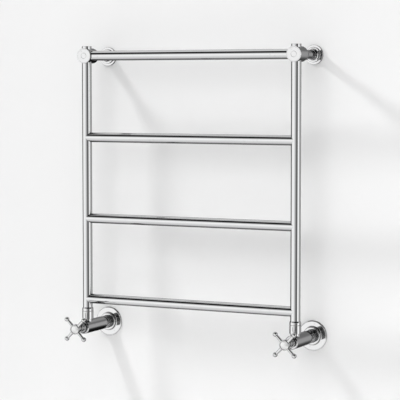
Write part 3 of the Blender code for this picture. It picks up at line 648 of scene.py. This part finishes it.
valveBody = {"radius": 17.5, "frontChamfer": 2.4, "rearChamfer": 1.2, "nipple": 11.0, "nippleLength": 8.0,
             "chamber": 10.5, "chamberDepth": 36.0, "seat": 6.2, "seatRim": 1.0, "pipe": 7.8,
             "pipeStop": 24.0, "neck": 12.2, "neckTop": 28.0, "neckSink": 0.2, "outlet": 6.5}


def makeValveBody(side):
    place, length = wallEndOf(f"valve_body_{side}", f"wall_rose_{side}")
    radius, front, rear = valveBody["radius"], valveBody["frontChamfer"], valveBody["rearChamfer"]
    nipple, shoulder = valveBody["nipple"], valveBody["nippleLength"]
    chamber, floor = valveBody["chamber"], length - valveBody["chamberDepth"]
    seat, rim = valveBody["seat"], valveBody["seatRim"]
    pipe, stop = valveBody["pipe"], shoulder + valveBody["pipeStop"]
    bm = turnPiece([(pipe, 0, 0.3), (nipple, 0, 0.4), (nipple, shoulder, 0), (radius - rear, shoulder, 0.3),
                    (radius, shoulder + rear, 0.3), (radius, length - front, 0.35),
                    (radius - front, length, 0.35), (chamber, length, 0.3), (chamber, floor, 0),
                    (seat + 2 * rim, floor, 0), (seat + rim, floor + rim, 0.2), (seat, floor + rim, 0.2),
                    (seat, stop, 0), (pipe, stop, 0)], 128)
    neckPlace, _ = footOf(f"union_nut_{side}")
    outlet, neckRadius, neckTop = valveBody["outlet"], valveBody["neck"], valveBody["neckTop"]
    neckStart = neckRadius - valveBody["neckSink"]
    neck = turnPiece([(outlet, neckStart, 0), (neckRadius, neckStart, 0), (neckRadius, neckTop, 0.4),
                      (outlet, neckTop, 0.3)])
    # the neck is made standing on the axis, then turned into the body's own lie
    joinShells(bm, neck, intoRoom.inverted() @ Matrix.Translation(Vector((0, neckPlace.y - place.y, 0))))
    finishPiece(bm, f"valveBody_{side}", f"valve_body_{side}", "frame", chromeTurned,
                intoRoom, place)


compressionNut = {"radius": 16.8, "inside": 11.3, "insideEnd": 7.0, "pipe": 7.9, "pipeEnd": 5.0,
                  "grooves": 3, "grooveDepth": 0.8, "grooveWidth": 1.1}


def makeCompressionNut(side):
    place, length = wallEndOf(f"compression_nut_{side}")
    radius, inside, pipe = compressionNut["radius"], compressionNut["inside"], compressionNut["pipe"]
    deep, wide = compressionNut["grooveDepth"], compressionNut["grooveWidth"]
    outer = [(radius, 0, 0.5)]
    pitch = length / (compressionNut["grooves"] + 1)
    for number in range(1, compressionNut["grooves"] + 1):
        middle = pitch * number
        outer += [(radius, middle - wide / 2, 0.25), (radius - deep, middle - wide / 4, 0.12),
                  (radius - deep, middle + wide / 4, 0.12), (radius, middle + wide / 2, 0.25)]
    outer.append((radius, length, 0.5))
    bm = turnPiece([(pipe, 0, 0.2), *outer, (inside, length, 0.2), (inside, compressionNut["insideEnd"], 0),
                    (pipe, compressionNut["pipeEnd"], 0)], 112)
    finishPiece(bm, f"compressionNut_{side}", f"compression_nut_{side}", "frame", chromeTurned,
                intoRoom, place)


sleeve = {"radius": 16.8, "inside": 15.5}


def makeSleeve(side):
    place, length = wallEndOf(f"pipe_sleeve_{side}")
    radius, inside = sleeve["radius"], sleeve["inside"]
    bm = turnPiece([(inside, 0, 0), (radius, 0, 0.2), (radius, length, 0.35), (inside, length, 0.2)], 112)
    finishPiece(bm, f"pipeSleeve_{side}", f"pipe_sleeve_{side}", "frame", chromeTube,
                intoRoom, place)


wallRose = {"radius": 39.0, "thickness": 3.6, "edgeHeight": 1.2, "edgeWidth": 2.4, "ring": 23.5,
            "ringRound": 2.6, "rootWidth": 1.3, "rootHeight": 1.4, "bore": 17.1}


def makeWallRose(side):
    place, length = wallEndOf(f"wall_rose_{side}")
    radius, thick = wallRose["radius"], wallRose["thickness"]
    ring, bore = wallRose["ring"], wallRose["bore"]
    bm = turnPiece([(bore, 0, 0.2), (radius, 0, 0.3), (radius, thick - wallRose["edgeHeight"], 0.6),
                    (radius - wallRose["edgeWidth"], thick, 0.9), (ring + wallRose["rootWidth"], thick, 1.0),
                    (ring, thick + wallRose["rootHeight"], 0.5), (ring, length, wallRose["ringRound"]),
                    (bore, length, 0.6)], 128)
    finishPiece(bm, f"wallRose_{side}", f"wall_rose_{side}", "frame", chromeTurned, intoRoom, place)


for side in sideNames:
    makeValveBody(side)
    makeCompressionNut(side)
    makeSleeve(side)
    makeWallRose(side)
print("valve bodies made")


# foot of each post

unionNut = {"radius": 14.7, "inside": 12.6, "hole": 8.1, "shoulder": 11.5}


def makeUnionNut(side):
    place, length = footOf(f"union_nut_{side}")
    radius, inside = unionNut["radius"], unionNut["inside"]
    hole, shoulder = unionNut["hole"], unionNut["shoulder"]
    bm = turnPiece([(inside, 0, 0.2), (radius, 0, 0.6), (radius, length, 0.5), (hole, length, 0.2),
                    (hole, shoulder, 0), (inside, shoulder, 0)], 112)
    finishPiece(bm, f"unionNut_{side}", f"union_nut_{side}", "frame", chromeTurned, upright, place)


footRing = {"radius": 14.7, "inside": 13.0, "bevel": 1.5, "bevelHeight": 3.4, "shoulderRound": 1.6}


def makeFootRing(side):
    place, length = footOf(f"foot_ring_{side}")
    radius, inside = footRing["radius"], footRing["inside"]
    bm = turnPiece([(inside, 0, 0.1), (radius, 0, 0.5),
                    (radius, length - footRing["bevelHeight"], footRing["shoulderRound"]),
                    (radius - footRing["bevel"], length, 0.15), (inside, length, 0.1)], 112)
    finishPiece(bm, f"footRing_{side}", f"foot_ring_{side}", "frame", chromeTurned, upright, place)


for side in sideNames:
    makeUnionNut(side)
    makeFootRing(side)
print("post feet made")


# headgear and crossheads

bonnet = {"thread": 10.2, "flange": 12.2, "flangeHeight": 6.7, "neck": 11.0, "height": 11.7, "gland": 7.2,
          "glandDepth": 10.7, "bore": 5.95}


def makeBonnet(side):
    place, length = wallEndOf(f"bonnet_{side}")
    bore, thread, neck, gland = bonnet["bore"], bonnet["thread"], bonnet["neck"], bonnet["gland"]
    wide, seat = bonnet["flange"], length - bonnet["height"]
    flange = seat + bonnet["flangeHeight"]
    chamber = length - bonnet["glandDepth"]
    bm = turnPiece([(bore, 0, 0), (thread, 0, 0.5), (thread, seat, 0), (wide, seat, 0.3),
                    (wide, flange, 0.9), (neck, flange, 0.4), (neck, length, 0.8), (gland, length, 0.2),
                    (gland, chamber, 0), (bore, chamber, 0)])
    finishPiece(bm, f"bonnetRing_{side}", f"bonnet_{side}", "frame", chromeTurned, intoRoom, place)


glandNut = {"nose": 6.9, "radius": 10.0, "height": 7.3, "hole": 4.3}


def makeGlandNut(side):
    place, length = wallEndOf(f"gland_nut_{side}")
    nose, radius, hole = glandNut["nose"], glandNut["radius"], glandNut["hole"]
    seat = length - glandNut["height"]
    bm = turnPiece([(hole, 0, 0), (nose, 0, 0.3), (nose, seat, 0), (radius, seat, 0.3),
                    (radius, length, 1.1), (hole, length, 0.3)])
    finishPiece(bm, f"glandCap_{side}", f"gland_nut_{side}", "frame", chromeTurned, intoRoom, place)


stem = {"thread": 3.4, "radius": 4.0, "collar": 6.4, "collarFromTop": 34.4, "collarHeight": 2.0}


def makeStem(side):
    place, length = wallEndOf(f"spindle_{side}")
    thread, radius, wide = stem["thread"], stem["radius"], stem["collar"]
    collar = length - stem["collarFromTop"]
    collarTop = collar + stem["collarHeight"]
    bm = turnPiece([(0, 0, 0), (thread, 0, 0.6), (thread, collar, 0), (wide, collar, 0.2),
                    (wide, collarTop, 0.2), (radius, collarTop, 0), (radius, length, 0.5),
                    (0, length, 0)], 48)
    finishPiece(bm, f"turningStem_{side}", f"spindle_{side}", f"handle_{side}", brassTurned,
                intoRoom, place)


hub = {"skirt": 9.2, "skirtHeight": 5.5, "radius": 13.0, "flareHeight": 7.0, "rimHeight": 7.8, "lip": 11.0,
       "recess": 10.7, "web": 13.3, "webTop": 15.5, "bore": 4.3, "screwHole": 2.2, "roundSteps": 8}
crossArm = {"count": 4, "turn": 45.0, "root": 4.0, "tip": 3.3, "start": 11.6, "sink": 1.0, "fillet": 0.9,
            "filletSteps": 6, "reach": 36.0, "ball": 6.0, "ballSteps": 22, "plane": 16.4}


def makeArm():
    # one arm along Z, from inside the hub to the ball at its end
    root, tip, fillet = crossArm["root"], crossArm["tip"], crossArm["fillet"]
    ball, reach, steps = crossArm["ball"], crossArm["reach"], crossArm["ballSteps"]
    join = quarterCove(root + fillet, root, hub["radius"] - crossArm["sink"], hub["radius"] + fillet,
                       crossArm["filletSteps"])
    meet = math.asin(tip / ball)
    ballPoints = []
    for number in range(steps):
        angle = meet + (math.pi - meet) * number / steps
        ballPoints.append((ball * math.sin(angle), reach - ball * math.cos(angle), 0))
    ballPoints.append((0, reach + ball, 0))
    start = crossArm["start"]
    return turnPiece([(0, start, 0), (root + fillet, start, 0), *join, *ballPoints], 48)


def makeCrosshead(side):
    place, length = wallEndOf(f"crosshead_{side}")
    skirt, radius, bore, hole = hub["skirt"], hub["radius"], hub["bore"], hub["screwHole"]
    flareTop = hub["skirtHeight"] + hub["flareHeight"]
    rimTop = flareTop + hub["rimHeight"]
    flare = quarterCove(radius, skirt, flareTop, hub["skirtHeight"], hub["roundSteps"])
    dome = quarterDome(radius, hub["lip"], rimTop, length, hub["roundSteps"])
    bm = turnPiece([(bore, 0, 0.3), (skirt, 0, 0.6), *reversed(flare), *dome, (hub["recess"], length, 0.1),
                    (hub["recess"], hub["webTop"], 0), (hole, hub["webTop"], 0), (hole, hub["web"], 0),
                    (bore, hub["web"], 0)])
    lift = Matrix.Translation((0, 0, crossArm["plane"] * mm))
    for number in range(crossArm["count"]):
        turned = math.radians(crossArm["turn"] + 360 * number / crossArm["count"])
        joinShells(bm, makeArm(), lift @ Matrix.Rotation(turned, 4, "Z") @ acrossRails)
    finishPiece(bm, f"crossHandle_{side}", f"crosshead_{side}", f"handle_{side}", chromeHandled,
                intoRoom, place)


indexCap = {"radius": 10.4, "rise": 1.6, "steps": 12}


def makeIndexCap(side):
    place, length = wallEndOf(f"index_cap_{side}")
    edge = length - indexCap["rise"]
    dome = shallowDome(indexCap["radius"], edge, length, indexCap["steps"])
    bm = turnPiece([(0, 0, 0), (indexCap["radius"], 0, 0.2), *dome], 96)
    finishPiece(bm, f"capDome_{side}", f"index_cap_{side}", f"handle_{side}", chromeHandled,
                intoRoom, place)


for side in sideNames:
    makeBonnet(side)
    makeGlandNut(side)
    makeStem(side)
    makeCrosshead(side)
    makeIndexCap(side)
print("valve heads made")


# parts kept as packed, given their finishes

keptFinishes = {"foot_bush": brassUpright, "tail_pipe": brassUpright, "olive": brassTurned,
                "gland_ring": rubberSeal, "plug_carrier": brassTurned, "plug_washer": rubberSeal,
                "handle_screw": zincSteel}
for name, finish in keptFinishes.items():
    for side in sideNames:
        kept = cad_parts[f"{name}_{side}"]
        kept.data.materials.clear()
        kept.data.materials.append(finish)
print("kept parts finished")


# stage, lamps, camera

# in metres and watts
stage = {"wallBehind": 0.0004, "floor": -0.72, "size": 4.0, "wallTone": 0.9, "floorTone": 0.8,
         "patchTone": 0.995}
keyLamp = {"place": (-0.89, -0.53, 1.52), "aim": (0.05, 0.0, 0.35), "size": 0.17, "watts": 2.6}
softLamp = {"place": (0.1, -3.3, 1.9), "aim": (0.0, 0.0, 0.35), "size": 2.4, "watts": 31.0}


def paintFinish(name, tone):
    # plain paint, seen through from its back so that the object shows from behind too
    material = bpy.data.materials.new(name)
    material.use_nodes = True
    tree = material.node_tree
    tree.nodes.clear()
    place = addNode(tree, "ShaderNodeTexCoord").outputs["Object"]
    paint = addNode(tree, "ShaderNodeBsdfDiffuse")
    patch = remap(tree, noise(tree, place, 3.0, 3), 0.3, 0.7)
    patchTone = tone * stage["patchTone"]
    feed(tree, paint.inputs["Color"],
         mixColour(tree, patch, (tone, tone, tone, 1), (patchTone, patchTone, patchTone, 1)))
    clear = addNode(tree, "ShaderNodeBsdfTransparent")
    choose = addNode(tree, "ShaderNodeMixShader")
    feed(tree, choose.inputs[0], addNode(tree, "ShaderNodeNewGeometry").outputs["Backfacing"])
    tree.links.new(paint.outputs[0], choose.inputs[1])
    tree.links.new(clear.outputs[0], choose.inputs[2])
    tree.links.new(choose.outputs[0], addNode(tree, "ShaderNodeOutputMaterial").inputs[0])
    return material


def stagePlane(name, matrix, tone):
    bm = bmesh.new()
    bmesh.ops.create_grid(bm, x_segments=1, y_segments=1, size=stage["size"], matrix=matrix)
    mesh = bpy.data.meshes.new(name)
    bm.to_mesh(mesh)
    bm.free()
    mesh.materials.append(paintFinish(name + " paint", tone))
    plane = bpy.data.objects.new(name, mesh)
    bpy.context.scene.collection.objects.link(plane)
    plane.visible_glossy = False


wallMiddle = (0, stage["wallBehind"], stage["size"] + stage["floor"])
floorMiddle = (0, stage["wallBehind"] - stage["size"], stage["floor"])
stagePlane("backWall", Matrix.Translation(wallMiddle) @ intoRoom, stage["wallTone"])
stagePlane("floorBoard", Matrix.Translation(floorMiddle), stage["floorTone"])


def areaLamp(name, settings, steady):
    lamp = bpy.data.lights.new(name, "AREA")
    lamp.shape = "DISK"
    lamp.size = settings["size"]
    lamp.energy = settings["watts"]
    holder = bpy.data.objects.new(name, lamp)
    bpy.context.scene.collection.objects.link(holder)
    holder.location = settings["place"]
    aim = Vector(settings["aim"]) - Vector(settings["place"])
    holder.rotation_euler = aim.to_track_quat("-Z", "Y").to_euler()
    holder.visible_glossy = False
    if steady:  # lights the whole wall evenly, as a lamp with a long throw does
        lamp.use_nodes = True
        tree = lamp.node_tree
        falloff = addNode(tree, "ShaderNodeLightFalloff")
        falloff.inputs["Strength"].default_value = 1.0
        throw = addNode(tree, "ShaderNodeLightPath").outputs["Ray Length"]
        tree.links.new(math2(tree, "MULTIPLY", falloff.outputs["Constant"], throw),
                       tree.nodes["Emission"].inputs["Strength"])


areaLamp("keyLamp", keyLamp, True)
areaLamp("softLamp", softLamp, False)


# what the plating sees, as display brightness in percent.
# roundRoom goes round the horizon: 0 is straight out from the wall, positive to the right.
# overRoom goes over the top and back underneath: 0 straight out, 90 straight up, 180 at the wall
roundRoom = [(-180, 47), (-152, 52), (-134, 44), (-116, 30), (-88, 28), (-82, 60), (-76, 94), (-24, 93),
             (-6, 84), (12, 66), (24, 50), (36, 36), (54, 36), (66, 54), (69, 98), (98, 98), (102, 66),
             (124, 60), (150, 60), (166, 50), (180, 47)]
overRoom = [(-180, 50), (-170, 46), (-162, 40), (-157, 26), (-153, 8), (-147, 6), (-141, 22), (-120, 38),
            (-106, 48), (-90, 64), (-70, 78), (-40, 84), (-10, 92), (4, 86), (14, 80), (23, 70), (34, 42),
            (44, 14), (50, 4), (72, 4), (76, 66), (82, 80), (120, 80), (142, 66), (154, 40), (170, 44),
            (180, 50)]
# tones that the slanting arms of the handles show, and the light for paint and for the open background
room = {"highRight": 4, "highLeft": 78, "secondBounce": 0.22, "plating": 0.8, "onPaint": 0.59, "open": 0.84}
# where each mask starts and ends, on one axis of the ray's direction
roomBands = {"level": (0.34, 0.17), "ahead": (0.3, 0.1), "high": (0.26, 0.38), "right": (-0.1, 0.12),
             "left": (-0.58, -0.7)}


def plainGrey(percent):
    # display brightness to light, for plating that returns four fifths of it
    share = percent / 100
    light = share / 12.92 if share <= 0.04045 else ((share + 0.055) / 1.055) ** 2.4
    grey = light / room["plating"]
    return grey, grey, grey, 1


def greyRamp(tree, position, stops):
    low, high = stops[0][0], stops[-1][0]
    node = addNode(tree, "ShaderNodeValToRGB")
    node.color_ramp.interpolation = "LINEAR"
    feed(tree, node.inputs[0], remap(tree, position, low, high, smooth=False))
    elements = node.color_ramp.elements
    for angle, _ in stops[1:-1]:
        elements.new((angle - low) / (high - low))
    for element, (_, percent) in zip(elements, stops):
        element.color = plainGrey(percent)
    return node.outputs["Color"]


def degreesFrom(tree, across, outward):
    return math2(tree, "MULTIPLY", math2(tree, "ARCTAN2", across, outward), 180 / math.pi)


def makeRoom():
    world = bpy.data.worlds.new("room")
    bpy.context.scene.world = world
    world.use_nodes = True
    tree = world.node_tree
    tree.nodes.clear()
    parts = addNode(tree, "ShaderNodeSeparateXYZ")
    feed(tree, parts.inputs[0], addNode(tree, "ShaderNodeTexCoord").outputs["Generated"])
    rightward, wallward, upward = parts.outputs
    outward = math2(tree, "MULTIPLY", wallward, -1.0)
    around = greyRamp(tree, degreesFrom(tree, rightward, outward), roundRoom)
    over = greyRamp(tree, degreesFrom(tree, upward, outward), overRoom)
    # dark upper right and pale upper left
    highAhead = math2(tree, "MULTIPLY", remap(tree, upward, *roomBands["high"]),
                      remap(tree, wallward, *roomBands["ahead"]))
    for name, tone in (("right", room["highRight"]), ("left", room["highLeft"])):
        mask = math2(tree, "MULTIPLY", remap(tree, rightward, *roomBands[name]), highAhead)
        over = mixColour(tree, mask, over, plainGrey(tone))
    level = remap(tree, math2(tree, "ABSOLUTE", upward), *roomBands["level"])
    glossy = mixColour(tree, level, over, around)
    rays = addNode(tree, "ShaderNodeLightPath")
    # plating seen in plating comes out darker, so that close parts stand out from each other
    again = remap(tree, rays.outputs["Glossy Depth"], 1.2, 1.8, 1.0, room["secondBounce"], smooth=False)
    glossy = mixColour(tree, 1.0, glossy, greyFrom(tree, again), "MULTIPLY")
    seen = mixColour(tree, rays.outputs["Is Diffuse Ray"], glossy, (*3 * [room["onPaint"]], 1))
    seen = mixColour(tree, rays.outputs["Is Camera Ray"], seen, (*3 * [room["open"]], 1))
    background = addNode(tree, "ShaderNodeBackground")
    feed(tree, background.inputs["Color"], seen)
    tree.links.new(background.outputs[0], addNode(tree, "ShaderNodeOutputWorld").inputs[0])


makeRoom()

camera = {"place": (1.949879, -3.935642, 0.637833), "tilt": -3.895, "turn": 26.637, "lens": 150.68}
cameraData = bpy.data.cameras.new("camera")
cameraData.lens = camera["lens"]
cameraObject = bpy.data.objects.new("camera", cameraData)
bpy.context.scene.collection.objects.link(cameraObject)
cameraObject.location = camera["place"]
cameraObject.rotation_euler = (math.radians(90 + camera["tilt"]), 0, math.radians(camera["turn"]))
bpy.context.scene.camera = cameraObject
bpy.context.scene.view_settings.view_transform = "Standard"
print("stage, lamps and camera set")
